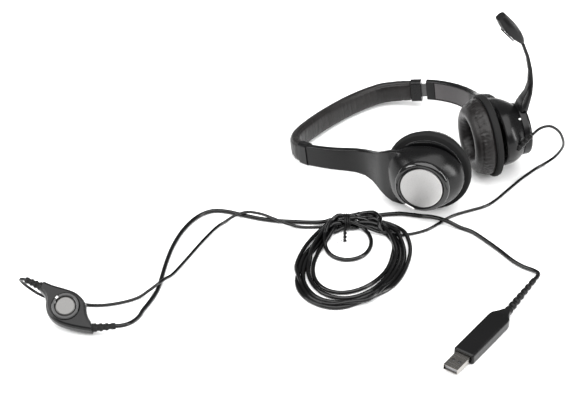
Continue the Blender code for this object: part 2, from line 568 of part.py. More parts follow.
# ---- cords and what is on them --------------------------------------------------------------------------------------
def ribbed_boot(name, start, direction, length, wide, narrow, ribs, parent, finish="rubber"):
    """A tapered strain relief with raised ribs round it."""
    profile = [(0.0, length), (narrow, length)]
    step = length / (2 * ribs)
    for i in range(2 * ribs - 1, 0, -1):
        z = i * step
        radius = wide + (narrow - wide) * z / length
        if i % 2 == 0:
            radius *= 0.80
        profile += [(radius, z + 0.3 * step), (radius, z - 0.3 * step)]
    profile += [(wide, 0.0), (0.0, 0.0)]
    turned(name, profile, finish, parent, closed=False, steps=10,
           matrix=basis((0.0, 0.0, 1.0), direction, start))


def route(points, spacing):
    curve = track([Vector(p) * MM for p in points])
    return [place for place, _ in places(curve, 0.0, curve[1][-1], spacing)]


def make_coil(table):
    """The wound part of the cord, as the solid that its turns fill."""
    curve = bpy.data.curves.new("cord_coil", "CURVE")
    curve.dimensions = "2D"
    curve.fill_mode = "BOTH"
    curve.extrude = COIL_HEIGHT / 2
    for shrink in (0.0, COIL_BAND):
        spline = curve.splines.new("POLY")
        spline.points.add(47)
        spline.use_cyclic_u = True
        for i, point in enumerate(spline.points):
            a = 2 * math.pi * i / 48
            point.co = ((COIL_HALF_LENGTH - shrink) * math.cos(a), (COIL_HALF_WIDTH - shrink) * math.sin(a), 0.0, 1.0)
    source = bpy.data.objects.new("coil_outline", curve)
    cutters.objects.link(source)
    bpy.context.view_layer.update()
    mesh = bpy.data.meshes.new_from_object(source.evaluated_get(bpy.context.evaluated_depsgraph_get()))
    bpy.data.objects.remove(source, do_unlink=True)
    bm = bmesh.new()
    bm.from_mesh(mesh)
    bmesh.ops.remove_doubles(bm, verts=bm.verts, dist=0.00001)
    place = Matrix.Translation(COIL_CENTRE + Vector((0.0, 0.0, COIL_HEIGHT / 2 + 0.1 * MM)))
    add("cord_coil", mesh_from(bm, "coil"), "rubber", table, place @ Matrix.Rotation(COIL_TURN, 4, "Z"), 60.0)


def make_tie(table):
    """The wire tie that holds the coil, wrapped over its band."""
    place = Matrix.Translation(COIL_CENTRE + Vector((-36.0, 28.5, 9.9)) * MM) @ Matrix.Rotation(math.radians(-32.0), 4, "Z")
    tie = add("twist_tie", box((19.0 * MM, 4.0 * MM, 3.4 * MM)), "rubber", table, place)
    bevel(tie, 1.0 * MM, 2)


def make_pod(table):
    """The in-line control: two shells, a volume wheel and a mute button, with a cord boot on each side."""
    turn = Matrix.Rotation(VIEW_SIDE + math.pi / 2, 4, "Z") @ Matrix.Rotation(POD_TILT, 4, "X")
    pod = frame("pod_frame", table, Matrix.Translation(POD_PLACE) @ turn)
    lower = loft([pod_outline(z, inset) for z, inset in ((-6.2, 2.8), (-5.3, 1.2), (-3.4, 0.3), (-0.15, 0.0))])
    upper = loft([pod_outline(z, inset) for z, inset in ((0.15, 0.0), (3.4, 0.3), (5.0, 1.2), (5.6, 2.4))])
    add("pod_lower_shell", lower, "satin_black", pod)
    shell = add("pod_upper_shell", upper, "satin_black", pod)
    well = cylinder(DIAL_RADIUS + GAP, 10.0 * MM, Matrix.Translation((0.0, 0.0, 6.6 * MM)), 40)
    boolean(shell, cutter(well, pod))
    dial = [(DIAL_INNER_RADIUS, 1.9 * MM), (DIAL_INNER_RADIUS, 6.4 * MM), (8.4 * MM, 7.0 * MM), (10.0 * MM, 7.0 * MM),
            (DIAL_RADIUS, 6.3 * MM), (DIAL_RADIUS, 1.9 * MM)]
    wheel = turned("volume_dial", dial, "gloss_black", pod, closed=True, steps=32)
    mark_place = Matrix.Rotation(math.radians(135.0), 4, "Z") @ Matrix.Translation((9.2 * MM, 0.0, 7.0 * MM))
    boolean(wheel, cutter(box((2.0 * MM, 2.6 * MM, 1.0 * MM)), pod, mark_place))
    add("dial_mark", box((1.4 * MM, 2.0 * MM, 0.6 * MM), (0.0, 0.0, 0.1 * MM)), "white_print", pod, mark_place)
    button = [(0.0, 6.6 * MM), (6.6 * MM, 6.6 * MM), (BUTTON_RADIUS, 6.1 * MM), (BUTTON_RADIUS, 3.0 * MM), (0.0, 3.0 * MM)]
    turned("mute_button", button, "brushed_silver", pod, closed=False, steps=32)
    return pod


def pod_outline(z, inset):
    """The control's outline at one height, drawn in by an inset (mm)."""
    points = []
    for side in POD_SIDES:
        curve = track([Vector((x, y)) * MM for x, y in side])
        for place, along in places(curve, 0.0, curve[1][-1], 2.7 * MM):
            inward = Vector((-along.y, along.x)) * inset * MM
            points.append((place.x + inward.x, place.y + inward.y, z * MM))
    return points


def make_pod_boots(pod):
    for name, (start, heading, length) in POD_BOOTS.items():
        out = Vector((math.cos(math.radians(heading)), math.sin(math.radians(heading)), 0.0))
        ribbed_boot(name, Vector((*start, 0.0)) * MM, out, length, 3.5 * MM, 2.4 * MM, 4, pod)


def make_plug(table):
    """Moulded plug with a metal shell, its contact tongue and a ribbed boot."""
    heading = Matrix.Rotation(PLUG_HEADING, 4, "Z")
    plug = frame("plug_frame", table, Matrix.Translation(PLUG_FRONT + Vector((0.0, 0.0, PLUG_THICKNESS / 2 + 0.1 * MM))) @ heading)
    stations = [(-PLUG_LENGTH, 3.6, 3.4), (-PLUG_LENGTH + 4 * MM, 5.0, 3.9), (-PLUG_LENGTH + 9 * MM, 8.0, 4.4),
                (-PLUG_LENGTH + 12 * MM, 8.5, 4.5), (-1.2 * MM, 8.5, 4.5), (0.0, 7.8, 3.9)]
    sections = []
    for x, half_width, half_height in stations:
        sections.append([Vector((x, y, z)) for y, z in rounded_rectangle(half_width * MM, half_height * MM, 1.6 * MM)])
    body = add("plug_body", loft(sections), "satin_black", plug)
    socket = box((16.0 * MM, SHELL_WIDTH + 2 * GAP, SHELL_THICKNESS + 2 * GAP))
    boolean(body, cutter(socket, plug))
    make_plug_shell(plug)
    back = Vector((-math.cos(PLUG_BOOT_BEND), -math.sin(PLUG_BOOT_BEND), 0.0))
    ribbed_boot("plug_boot", (-PLUG_LENGTH - 0.5 * MM, 0.0, 0.0), back, 46.8 * MM, 3.5 * MM, 2.2 * MM, 7, plug)
    return plug


def make_plug_shell(plug):
    back = -7.6 * MM
    length = SHELL_LENGTH - back
    middle = back + length / 2
    shell = add("plug_shell", box((length, SHELL_WIDTH, SHELL_THICKNESS), (middle, 0.0, 0.0)), "steel", plug)
    hollow = box((length, SHELL_WIDTH - 2 * SHELL_WALL, SHELL_THICKNESS - 2 * SHELL_WALL), (middle + 1.0 * MM, 0.0, 0.0))
    boolean(shell, cutter(hollow, plug))
    for y in (-2.6 * MM, 2.6 * MM):
        window = box((2.4 * MM, 2.2 * MM, 3.0 * MM), (SHELL_LENGTH - 8.5 * MM, y, SHELL_THICKNESS / 2))
        boolean(shell, cutter(window, plug))
    tongue = box((length - 3.0 * MM, 10.6 * MM, 1.6 * MM), (middle - 0.2 * MM, 0.0, -0.9 * MM))
    add("plug_tongue", tongue, "driver_grey", plug)


GLAND_START = Vector((26.6, 4.0, 16.8)) * MM
GLAND_DIRECTION = Vector((0.08, -0.61, 0.79)).normalized()
GLAND_LENGTH = 16.0 * MM


def make_gland(cup):
    """The strain relief where the cord leaves the far housing, seated in a round hole."""
    ribbed_boot("cord_gland", GLAND_START, GLAND_DIRECTION, GLAND_LENGTH, 3.2 * MM, 1.9 * MM, 4, cup)
    place = basis((0.0, 0.0, 1.0), GLAND_DIRECTION, GLAND_START - GLAND_DIRECTION * GAP)
    hole = cylinder(3.2 * MM + GAP, 12.0 * MM, Matrix.Translation((0.0, 0.0, 6.0 * MM)), 32)
    boolean(bpy.data.objects["yoke_far"], cutter(hole, cup, place))


def main():
    clear_scene()
    bpy.context.scene.collection.children.link(model)
    bpy.context.scene.collection.children.link(cutters)
    table = frame("table_frame", None, Matrix.Translation(ORIGIN_SHIFT))
    arch = frame("arch_frame", table,
                 Matrix.Translation((0.0, 0.0, CUP_HEIGHT)) @ Matrix.Rotation(-ARCH_TIP, 4, "Y"))
    sine, cosine = math.sin(CUP_TOE_IN), math.cos(CUP_TOE_IN)
    near = frame("near_cup_frame", arch, basis((cosine, sine, 0.0), (sine, -cosine, 0.0), (0.0, -CUP_HALF_SPAN, 0.0)))
    far = frame("far_cup_frame", arch, basis((cosine, -sine, 0.0), (sine, cosine, 0.0), (0.0, CUP_HALF_SPAN, 0.0)))
    make_headband(arch)
    make_collar("collar_near", 0.0, COLLAR_LENGTH, NEAR_SLIDE_END, NEAR_SLIDE, arch)
    make_collar("collar_far", BAND_LENGTH - COLLAR_LENGTH, BAND_LENGTH, FAR_SLIDE_END, FAR_SLIDE, arch)
    make_strip("slide_strip_near", NEAR_SLIDE_END, NEAR_SLIDE, 0.0, 24.0 * MM, STRIP_REACH, arch)
    make_strip("slide_strip_far", FAR_SLIDE_END, FAR_SLIDE, FAR_EXTENSION, 24.0 * MM, STRIP_REACH, arch)
    for side, cup, stations in (("near", near, NEAR_ARM), ("far", far, FAR_ARM)):
        yoke = make_yoke(side, stations, cup)
        end, direction = (NEAR_SLIDE_END, NEAR_SLIDE) if side == "near" else (FAR_SLIDE_END, FAR_SLIDE)
        slot = box((60.0 * MM, STRIP_WIDTH + 2 * GAP, STRIP_THICKNESS + 2 * GAP), (-30.0 * MM, 0.0, 0.0))
        reach = Matrix.Translation((STRIP_REACH + GAP + (FAR_EXTENSION if side == "far" else 0.0), 0.0, 0.0))
        boolean(yoke, cutter(slot, arch, strip_matrix(end, direction) @ reach))
        if side == "near":
            beyond = box((30.0 * MM, 40.0 * MM, 40.0 * MM), (NEAR_ARM_START - 15.0 * MM, -70.0 * MM, 0.0))
            boolean(yoke, cutter(beyond, arch))
        make_arm_cover(side, yoke, stations, cup)
        make_swivel_pin(side, cup)
        make_badge(side, cup)
        make_cup(side, cup)
    make_trim_ring(near)
    make_boom(far, -1.0)
    make_gland(far)
    make_coil(table)
    make_tie(table)
    pod = make_pod(table)
    make_pod_boots(pod)
    make_plug(table)
    tube("cord_thin_to_coil", route(THIN_TO_COIL, 5.5 * MM), THIN_RADIUS, "rubber", table)
    tube("cord_thin_to_pod", route(THIN_TO_POD, 7.0 * MM), THIN_RADIUS, "rubber", table)
    tube("cord_thick_to_coil", route(THICK_TO_COIL, 8.0 * MM), THICK_RADIUS, "rubber", table)
    tube("cord_thick_to_plug", route(THICK_TO_PLUG, 6.0 * MM), THICK_RADIUS, "rubber", table)


main()
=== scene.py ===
"""Looks of the wired office headset: leatherette, moulded plastic, brushed discs, and the cords as they lie."""
import json
import math

import bmesh
import bpy
import numpy as np
from mathutils import Matrix, Vector, noise


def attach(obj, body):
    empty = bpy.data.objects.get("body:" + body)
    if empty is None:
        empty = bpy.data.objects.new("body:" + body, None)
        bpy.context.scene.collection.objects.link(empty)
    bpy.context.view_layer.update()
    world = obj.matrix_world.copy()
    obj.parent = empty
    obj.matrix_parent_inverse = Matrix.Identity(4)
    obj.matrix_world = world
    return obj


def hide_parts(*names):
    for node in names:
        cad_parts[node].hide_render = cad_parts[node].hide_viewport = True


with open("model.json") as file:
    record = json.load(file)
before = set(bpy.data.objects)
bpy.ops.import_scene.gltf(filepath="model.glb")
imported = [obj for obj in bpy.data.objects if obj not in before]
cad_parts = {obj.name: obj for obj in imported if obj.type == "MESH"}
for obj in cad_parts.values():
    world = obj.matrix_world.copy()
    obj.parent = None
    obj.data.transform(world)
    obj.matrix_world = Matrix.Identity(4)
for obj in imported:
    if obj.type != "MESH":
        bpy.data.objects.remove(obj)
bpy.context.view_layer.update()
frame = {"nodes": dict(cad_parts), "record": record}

MM = 0.001

# ---- where things lie (mm) -----------------------------------------------------------------------
SHIFT = np.array([52.71, -5.55, 0.0])
ARCH_TIP = math.radians(9.85)
CUP_HEIGHT = 35.0
CUP_HALF_SPAN = 36.5
CUP_TOE_IN = math.radians(30.4)
COLLAR_LENGTH = 9.4
GAP = 0.3
BAND_HALF_WIDTH, BAND_THICKNESS = 9.3, 8.6
BAND_OUTLINE = [(-104.4, -74.6), (-114.0, -74.3), (-123.0, -72.2), (-131.0, -66.6), (-137.6, -55.5),
                (-142.2, -38.0), (-145.3, -12.0), (-145.0, 20.0), (-139.0, 48.0), (-128.0, 62.6),
                (-117.2, 71.4), (-109.1, 77.0)]
PAD_PROFILE = [(32.0, -3.0), (32.7, -5.0), (31.9, -8.2), (30.3, -11.7), (27.9, -14.9), (25.0, -17.1), (22.3, -17.7),
               (19.5, -17.1), (17.1, -14.9), (15.7, -11.0), (15.6, -6.5), (16.6, -3.0)]
BAND_STEPS, BAND_AROUND, STITCH_PITCH = 240, 72, 3.0
PAD_MIDDLE, PAD_HALF = (24.0, -10.3), (9.0, 7.5)     # of the pad's section: radius and height
PAD_BASE = -3.0
PAD_STEPS, PAD_SPACING = 220, 0.95
PAD_STITCHES, PAD_STITCH_RADIUS = 112, 29.25
PAD_STITCH = ((0.18, -13.23), (0.48, -13.43), (0.78, -13.23))   # share of the pitch, height
PAD_THREAD, BAND_THREAD = 0.13, 0.14
BAND_HOLLOW = (7.2, 3.15)
BAND_TUCK, BAND_GATHER = 2.2, 30.0                   # how far from the cover's ends these reach
# where the painted highlight dot sits on the far cup, and its outline
GLINT_AT = (15.9, -16.5)
GLINT_OUTLINE = ((0.85, 22.8), (0.85, 24.75), (0.6, 25.0), (0.05, 25.1))
CLOTH_RADIUS = 15.2
THIN_RADIUS, THICK_RADIUS = 1.2, 1.7
CORD_SPACING = 2.4
THIN_TO_COIL = [(37.5, 47.95, 47.6), (41.0, 53.8, 53.2), (46.0, 60.5, 54.4), (50.5, 66.8, 48.5), (51.3, 72.5, 38.5),
                (48.8, 77.5, 28.5), (43.6, 80.8, 18.5), (37.6, 81.5, 9.0), (32.6, 77.5, 3.0), (30.6, 69.0, 1.3),
                (31.0, 56.4, 1.3), (31.8, 44.0, 1.3), (33.8, 27.9, 1.3), (36.3, 6.5, 1.3), (35.4, -6.0, 1.3),
                (30.6, -19.3, 1.3), (26.4, -31.7, 1.3), (25.0, -41.0, 1.3), (24.8, -50.0, 1.3), (24.2, -61.3, 1.3),
                (21.5, -71.5, 1.3)]
THIN_TO_POD = [(-39.5, -121.0, 1.3), (-47.0, -131.0, 1.3), (-55.0, -137.0, 1.8), (-62.0, -141.0, 4.0),
               (-70.0, -144.5, 5.5), (-82.0, -147.5, 5.6), (-92.0, -154.0, 5.5), (-97.0, -163.0, 3.6),
               (-98.5, -172.0, 1.6), (-98.0, -182.0, 1.3), (-92.0, -203.0, 1.3), (-83.0, -229.0, 1.3),
               (-76.5, -248.0, 1.8), (-73.2, -259.0, 4.8), (-71.6, -267.0, 5.6), (-71.6, -276.0, 4.2),
               (-73.6, -287.0, 1.5), (-79.0, -301.0, 1.3), (-88.0, -314.0, 1.3), (-101.0, -324.0, 1.3),
               (-113.0, -331.0, 1.3), (-121.0, -336.0, 2.2), (-126.5, -340.5, 5.5), (-129.8, -345.0, 11.0),
               (-131.0, -349.5, 17.5), (-130.2, -353.0, 23.5), (-127.2, -353.6, 26.8), (-123.3, -352.0, 27.0)]
THICK_TO_COIL = [(-54.0, -326.5, 8.0), (-49.8, -321.4, 8.2), (-49.2, -313.5, 6.8), (-53.4, -303.0, 3.6),
                 (-58.8, -293.8, 2.0), (-63.0, -283.5, 1.8), (-69.0, -271.0, 1.8), (-77.0, -260.0, 1.8),
                 (-91.0, -242.0, 1.8), (-104.0, -223.0, 1.8), (-114.0, -203.0, 1.8), (-119.0, -184.0, 1.8),
                 (-117.0, -170.0, 1.8), (-108.0, -161.5, 1.8), (-94.0, -155.0, 1.8), (-80.0, -148.0, 1.8),
                 (-67.0, -139.0, 1.8), (-53.0, -127.0, 2.4), (-43.0, -118.0, 4.6)]
THICK_TO_PLUG = [(-12.0, -69.5, 3.0), (-3.0, -60.5, 1.8), (8.0, -53.5, 2.0), (16.5, -50.2, 3.8), (25.0, -47.8, 4.7),
                 (33.0, -45.2, 3.8), (41.0, -42.6, 1.9), (52.0, -40.0, 1.8), (69.0, -41.5, 1.8), (86.0, -44.0, 1.8),
                 (99.0, -46.4, 1.8), (109.5, -46.5, 1.8), (118.5, -45.2, 2.4), (124.6, -46.5, 3.4),
                 (127.4, -51.5, 4.2), (128.5, -56.8, 4.6)]

# ---- the wound part of the thick cord ------------------------------------------------------------
TIE = np.array([-24.5, -106.2])
TIE_ALONG = np.array([0.703, 0.711])     # the way the bundle runs through the tie
TIE_ACROSS = np.array([-0.711, 0.703])
# each turn: centre x and y, half length, half width, turn of the long axis in degrees
TURNS = [(13.4, -137.0, 60.5, 38.6, -75.5), (9.6, -137.6, 58.6, 40.2, -63.5), (13.0, -138.9, 52.4, 35.4, -72.0),
         (8.8, -135.8, 50.6, 33.4, -60.5), (9.6, -133.4, 46.6, 29.2, -70.5), (-8.1, -122.4, 23.0, 19.6, -54.6)]
LIFTS = [0.1, 3.7, 0.9, 4.6, 1.9, 5.5]   # how far each turn starts above the table before it settles
# where each pass lies inside the tie: across it and up from the table
LANES = [(0.0, 9.6), (-3.6, 3.4), (3.6, 3.4), (0.0, 3.4), (-1.8, 6.5), (1.8, 6.5), (3.6, 9.6)]
THIN_LANE = (-3.5, 9.2)
TIE_PASS = (-5.0, 0.0, 5.0)              # guide points of a pass, along the tie
TOP_LOOP = [(-30.6, -96.5, 9.0), (-30.0, -88.5, 8.6), (-26.2, -81.6, 8.2), (-19.9, -78.4, 8.0),
            (-12.8, -80.2, 7.8), (-5.5, -87.0, 7.0), (2.5, -96.0, 6.0)]
TOP_LOOP_TURN = 4                        # this turn leaves the tie with a loop that stands away from the others
TOP_LOOP_SHARE = 0.16                    # the part of its turn that the loop takes
SMALL_TURN = 30.0                        # a turn with a smaller half length has fewer guide points
GATHER_REACH = 22.0                      # how far from the tie the turns draw together
TIE_CLEAR = 9.0                          # nearer to the tie than this a turn has no guide points of its own
WINDING_FROM_TIE = [(-26.0, -93.5, 9.0), (-21.5, -84.5, 6.5), (-17.5, -77.0, 4.4)]
THIN_INTO_TIE = [(16.5, -81.0, 1.6), (10.0, -89.0, 4.0), (1.0, -94.0, 8.0), (-10.0, -98.0, 10.0)]
THIN_FROM_TIE = [(-34.0, -114.5, 5.0)]
COIL_ZONE = ((-60.0, 75.0), (-200.0, -64.0))         # x and y between which the cords are laid on each other
TIE_ZONE = (3.5, 6.0)                                # along and across the tie, where they are held fast
SETTLE_ROUNDS, SINKING_SHARE = 160, 0.7
SINK_STEP, PULL_BACK, PUSH_SHARE = 0.12, 0.03, 0.45
CORD_CLEARANCE, TABLE_CLEARANCE = 0.05, 0.02
NEAR_ENOUGH, STEPS_APART = 9.0, 6

# ---- the wire tie --------------------------------------------------------------------------------
WRAP_STEPS, WRAP_STEPS_ROUND = 72, 28.0
WRAP_HALF = (6.3, 5.65)                              # across the bundle and up
WRAP_MIDDLE, WRAP_LENGTH = 6.5, 4.4
TWIST_START, TWIST_END = np.array([-20.5, -112.5, 4.0]), np.array([-10.8, -122.6, 2.3])
TWIST_STEPS, TWIST_ANGLE, TWIST_RADIUS = 24, 10.0, 0.75
BARE_WIRE = [(-12.2, -121.5, 3.6), (-13.0, -124.5, 3.2), (-14.2, -128.0, 2.0), (-15.3, -131.3, 1.2)]
WRAP_WIRE, TWIST_WIRE, BARE_RADIUS = 0.78, 0.74, 0.24


# ---- small tools ---------------------------------------------------------------------------------
def distances(points):
    """How far each point is along the line."""
    return np.concatenate([[0.0], np.cumsum(np.linalg.norm(np.diff(points, axis=0), axis=1))])


def smooth_line(points, spacing):
    """Evenly spaced points on a smooth curve through the given ones."""
    p = np.asarray(points, float)
    p = np.vstack([2 * p[0] - p[1], p, 2 * p[-1] - p[-2]])
    t = np.linspace(0.0, 1.0, 24, endpoint=False)[:, None]
    runs = []
    for a, b, c, d in zip(p, p[1:], p[2:], p[3:]):
        square, cube = 2 * a - 5 * b + 4 * c - d, 3 * b - a - 3 * c + d
        runs.append(0.5 * (2 * b + (c - a) * t + square * t ** 2 + cube * t ** 3))
    fine = np.vstack(runs + [p[-2:-1]])
    along = distances(fine)
    count = max(2, int(round(along[-1] / spacing)) + 1)
    want = np.linspace(0.0, along[-1], count)
    return np.stack([np.interp(want, along, fine[:, k]) for k in range(p.shape[1])], axis=1)


def basis(x_axis, z_axis, origin):
    """A frame from its z axis, about where its x axis points, and its origin."""
    z = Vector(z_axis).normalized()
    x = Vector(x_axis)
    x = (x - z * x.dot(z)).normalized()
    matrix = Matrix((x, z.cross(x), z)).transposed().to_4x4()
    matrix.translation = Vector(origin)
    return matrix


TABLE = Matrix.Translation(SHIFT * MM)
ARCH = TABLE @ Matrix.Translation((0.0, 0.0, CUP_HEIGHT * MM)) @ Matrix.Rotation(-ARCH_TIP, 4, "Y")
SINE, COSINE = math.sin(CUP_TOE_IN), math.cos(CUP_TOE_IN)
NEAR_CUP = ARCH @ basis((COSINE, SINE, 0.0), (SINE, -COSINE, 0.0), (0.0, -CUP_HALF_SPAN * MM, 0.0))
FAR_CUP = ARCH @ basis((COSINE, -SINE, 0.0), (SINE, COSINE, 0.0), (0.0, CUP_HALF_SPAN * MM, 0.0))


def grid_mesh(name, rings, closed_rings, matrix, material, body):
    """A skin over rings of equally many points (mm); with closed_rings the last ring joins the first."""
    count, around = len(rings), len(rings[0])
    verts = [tuple(p * MM) for ring in rings for p in ring]
    faces = []
    for i in range(count if closed_rings else count - 1):
        for j in range(around):
            a, b = i * around + j, i * around + (j + 1) % around
            c, d = ((i + 1) % count) * around + (j + 1) % around, ((i + 1) % count) * around + j
            faces.append((a, b, c, d))
    if not closed_rings:
        faces.append(tuple(range(around))[::-1])
        faces.append(tuple((count - 1) * around + j for j in range(around)))
    return put_mesh(name, verts, faces, matrix, material, body)


def put_mesh(name, verts, faces, matrix, material, body):
    """A smooth mesh object on a body."""
    mesh = bpy.data.meshes.new(name)
    mesh.from_pydata(verts, [], faces)
    mesh.transform(matrix)
    mesh.validate()
    mesh.shade_smooth()
    mesh.materials.append(material)
    obj = bpy.data.objects.new(name, mesh)
    bpy.context.scene.collection.objects.link(obj)
    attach(obj, body)
    return obj


def face_out(obj):
    """Turns every face of a closed skin outwards."""
    bm = bmesh.new()
    bm.from_mesh(obj.data)
    bmesh.ops.recalc_face_normals(bm, faces=bm.faces)
    bm.to_mesh(obj.data)
    bm.free()


def weld(mesh):
    """Joins the facets at their corners, so that a round face can be shaded as one."""
    bm = bmesh.new()
    bm.from_mesh(mesh)
    bmesh.ops.remove_doubles(bm, verts=bm.verts, dist=0.000005)
    bmesh.ops.dissolve_limit(bm, angle_limit=math.radians(0.5), verts=bm.verts, edges=bm.edges)
    bm.to_mesh(mesh)
    bm.free()


def put_curve(name, lines, radius, material, body, resolution=4, matrix=TABLE):
    """One curve object of round section through each list of points (mm)."""
    curve = bpy.data.curves.new(name, "CURVE")
    curve.dimensions = "3D"
    curve.bevel_depth = radius * MM
    curve.bevel_resolution = resolution
    curve.use_fill_caps = True
    for line in lines:
        spline = curve.splines.new("POLY")
        spline.points.add(len(line) - 1)
        for target, point in zip(spline.points, line):
            target.co = (*(matrix @ Vector([c * MM for c in point])), 1.0)
        spline.use_smooth = True
    curve.materials.append(material)
    obj = bpy.data.objects.new(name, curve)
    bpy.context.scene.collection.objects.link(obj)
    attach(obj, body)
    return obj


def wavy(x, y, z, scale, seed=0.0):
    """Smooth noise from about -1 to 1, the same at every run."""
    return noise.noise(Vector((x * scale + seed, y * scale - seed, z * scale + 2.0 * seed)))


def hill(value, middle, width):
    """1 at the middle, and falling to nothing on both sides."""
    return math.exp(-((value - middle) / width) ** 2)


def boxy(half, value, power):
    """One coordinate of a rounded rectangle, from the sine or cosine of the angle."""
    return half * math.copysign(abs(value) ** (2 / power), value)


# ---- materials -----------------------------------------------------------------------------------
def shader_of(name, color, roughness, metallic=0.0):
    """A new material, with its tree and its main shader."""
    mat = bpy.data.materials.new(name)
    mat.use_nodes = True
    tree = mat.node_tree
    shader = tree.nodes["Principled BSDF"]
    shader.inputs["Base Color"].default_value = (*color, 1.0)
    shader.inputs["Roughness"].default_value = roughness
    shader.inputs["Metallic"].default_value = metallic
    return mat, tree, shader


def place_of(tree, stretch=(1.0, 1.0, 1.0), turn=(0.0, 0.0, 0.0)):
    """The place on the object, stretched or turned."""
    coords = tree.nodes.new("ShaderNodeTexCoord")
    mapping = tree.nodes.new("ShaderNodeMapping")
    mapping.inputs["Scale"].default_value = stretch
    mapping.inputs["Rotation"].default_value = turn
    tree.links.new(coords.outputs["Object"], mapping.inputs["Vector"])
    return mapping.outputs["Vector"]


def noise_of(tree, where, scale, detail=3.0, roughness=0.55):
    """Cloudy noise from 0 to 1."""
    node = tree.nodes.new("ShaderNodeTexNoise")
    node.inputs["Scale"].default_value = scale
    node.inputs["Detail"].default_value = detail
    node.inputs["Roughness"].default_value = roughness
    tree.links.new(where, node.inputs["Vector"])
    return node.outputs["Fac"]


def ranged(tree, value, low, high, start=0.0, end=1.0):
    """The value moved from the range start to end into low to high."""
    node = tree.nodes.new("ShaderNodeMapRange")
    node.inputs["From Min"].default_value = start
    node.inputs["From Max"].default_value = end
    node.inputs["To Min"].default_value = low
    node.inputs["To Max"].default_value = high
    tree.links.new(value, node.inputs["Value"])
    return node.outputs["Result"]


def bumped(tree, value, distance, strength=1.0, before=None):
    """A surface raised by the value."""
    node = tree.nodes.new("ShaderNodeBump")
    node.inputs["Strength"].default_value = strength
    node.inputs["Distance"].default_value = distance
    tree.links.new(value, node.inputs["Height"])
    if before is not None:
        tree.links.new(before, node.inputs["Normal"])
    return node.outputs["Normal"]


def blended(tree, share, first, second):
    """A colour between two."""
    node = tree.nodes.new("ShaderNodeMix")
    node.data_type = "RGBA"
    node.inputs["A"].default_value = (*first, 1.0)
    node.inputs["B"].default_value = (*second, 1.0)
    tree.links.new(share, node.inputs["Factor"])
    return node.outputs["Result"]


def edges_of(tree, low=0.50, high=0.58):
    """1 at convex edges and 0 on flat faces."""
    geometry = tree.nodes.new("ShaderNodeNewGeometry")
    return ranged(tree, geometry.outputs["Pointiness"], 0.0, 1.0, low, high)


def plastic(name, color, painted_edge_highlight, roughness, spread, grain, depth, shine=0.3):
    """Moulded plastic: a fine grain, uneven gloss, and a painted edge highlight that makes convex edges a little
    lighter.
    """
    mat, tree, shader = shader_of(name, color, roughness)
    shader.inputs["Specular IOR Level"].default_value = shine
    where = place_of(tree)
    tree.links.new(ranged(tree, noise_of(tree, where, 45.0), roughness - spread, roughness + spread, 0.3, 0.7),
                   shader.inputs["Roughness"])
    # painted edge highlight: convex edges blended towards the lighter colour
    tree.links.new(blended(tree, edges_of(tree), color, painted_edge_highlight), shader.inputs["Base Color"])
    rounded = tree.nodes.new("ShaderNodeBevel")
    rounded.samples = 4
    rounded.inputs["Radius"].default_value = 0.0006
    grained = bumped(tree, noise_of(tree, where, grain, 2.0), depth, 1.0, rounded.outputs["Normal"])
    tree.links.new(grained, shader.inputs["Normal"])
    return mat


def leatherette(name, color, light):
    """Soft plastic leather: pebbled cells with creases between, over broad wrinkles."""
    mat, tree, shader = shader_of(name, color, 0.46)
    shader.inputs["Specular IOR Level"].default_value = 0.30
    where = place_of(tree)
    cells = tree.nodes.new("ShaderNodeTexVoronoi")
    cells.feature = "DISTANCE_TO_EDGE"
    cells.inputs["Scale"].default_value = 950.0
    tree.links.new(where, cells.inputs["Vector"])
    pebble = ranged(tree, cells.outputs["Distance"], 0.0, 1.0, 0.0, 0.25)
    creases = bumped(tree, noise_of(tree, where, 120.0, 4.0), 0.0006, 0.5)
    tree.links.new(bumped(tree, pebble, 0.00009, 0.6, creases), shader.inputs["Normal"])
    tone = noise_of(tree, where, 60.0, 4.0)
    tree.links.new(blended(tree, ranged(tree, tone, 0.0, 1.0, 0.35, 0.7), color, light), shader.inputs["Base Color"])
    tree.links.new(ranged(tree, tone, 0.30, 0.46, 0.3, 0.7), shader.inputs["Roughness"])
    shader.inputs["Sheen Weight"].default_value = 0.04
    shader.inputs["Sheen Roughness"].default_value = 0.4
    return mat


def brushed(name, color, roughness, turn):
    """Metal brushed one way, with faint uneven streaks."""
    mat, tree, shader = shader_of(name, color, roughness, 1.0)
    streaks = noise_of(tree, place_of(tree, (1.0, 40.0, 40.0), turn), 110.0, 4.0)
    darker = tuple(c * 0.72 for c in color)
    share = ranged(tree, streaks, 0.0, 1.0, 0.3, 0.7)
    tree.links.new(blended(tree, share, darker, color), shader.inputs["Base Color"])
    tree.links.new(ranged(tree, streaks, roughness - 0.08, roughness + 0.10, 0.3, 0.7), shader.inputs["Roughness"])
    tree.links.new(bumped(tree, streaks, 0.00003, 0.6), shader.inputs["Normal"])
    return mat


def woven(name, color, light):
    """Fine acoustic cloth: two crossing sets of threads."""
    mat, tree, shader = shader_of(name, color, 0.9)
    heights = []
    for direction in ("X", "Z"):
        wave = tree.nodes.new("ShaderNodeTexWave")
        wave.bands_direction = direction
        wave.inputs["Scale"].default_value = 520.0
        tree.links.new(place_of(tree), wave.inputs["Vector"])
        heights.append(wave.outputs["Fac"])
    total = tree.nodes.new("ShaderNodeMath")
    total.operation = "MULTIPLY"
    tree.links.new(heights[0], total.inputs[0])
    tree.links.new(heights[1], total.inputs[1])
    tree.links.new(blended(tree, total.outputs["Value"], color, light), shader.inputs["Base Color"])
    tree.links.new(bumped(tree, total.outputs["Value"], 0.0002, 0.8), shader.inputs["Normal"])
    return mat
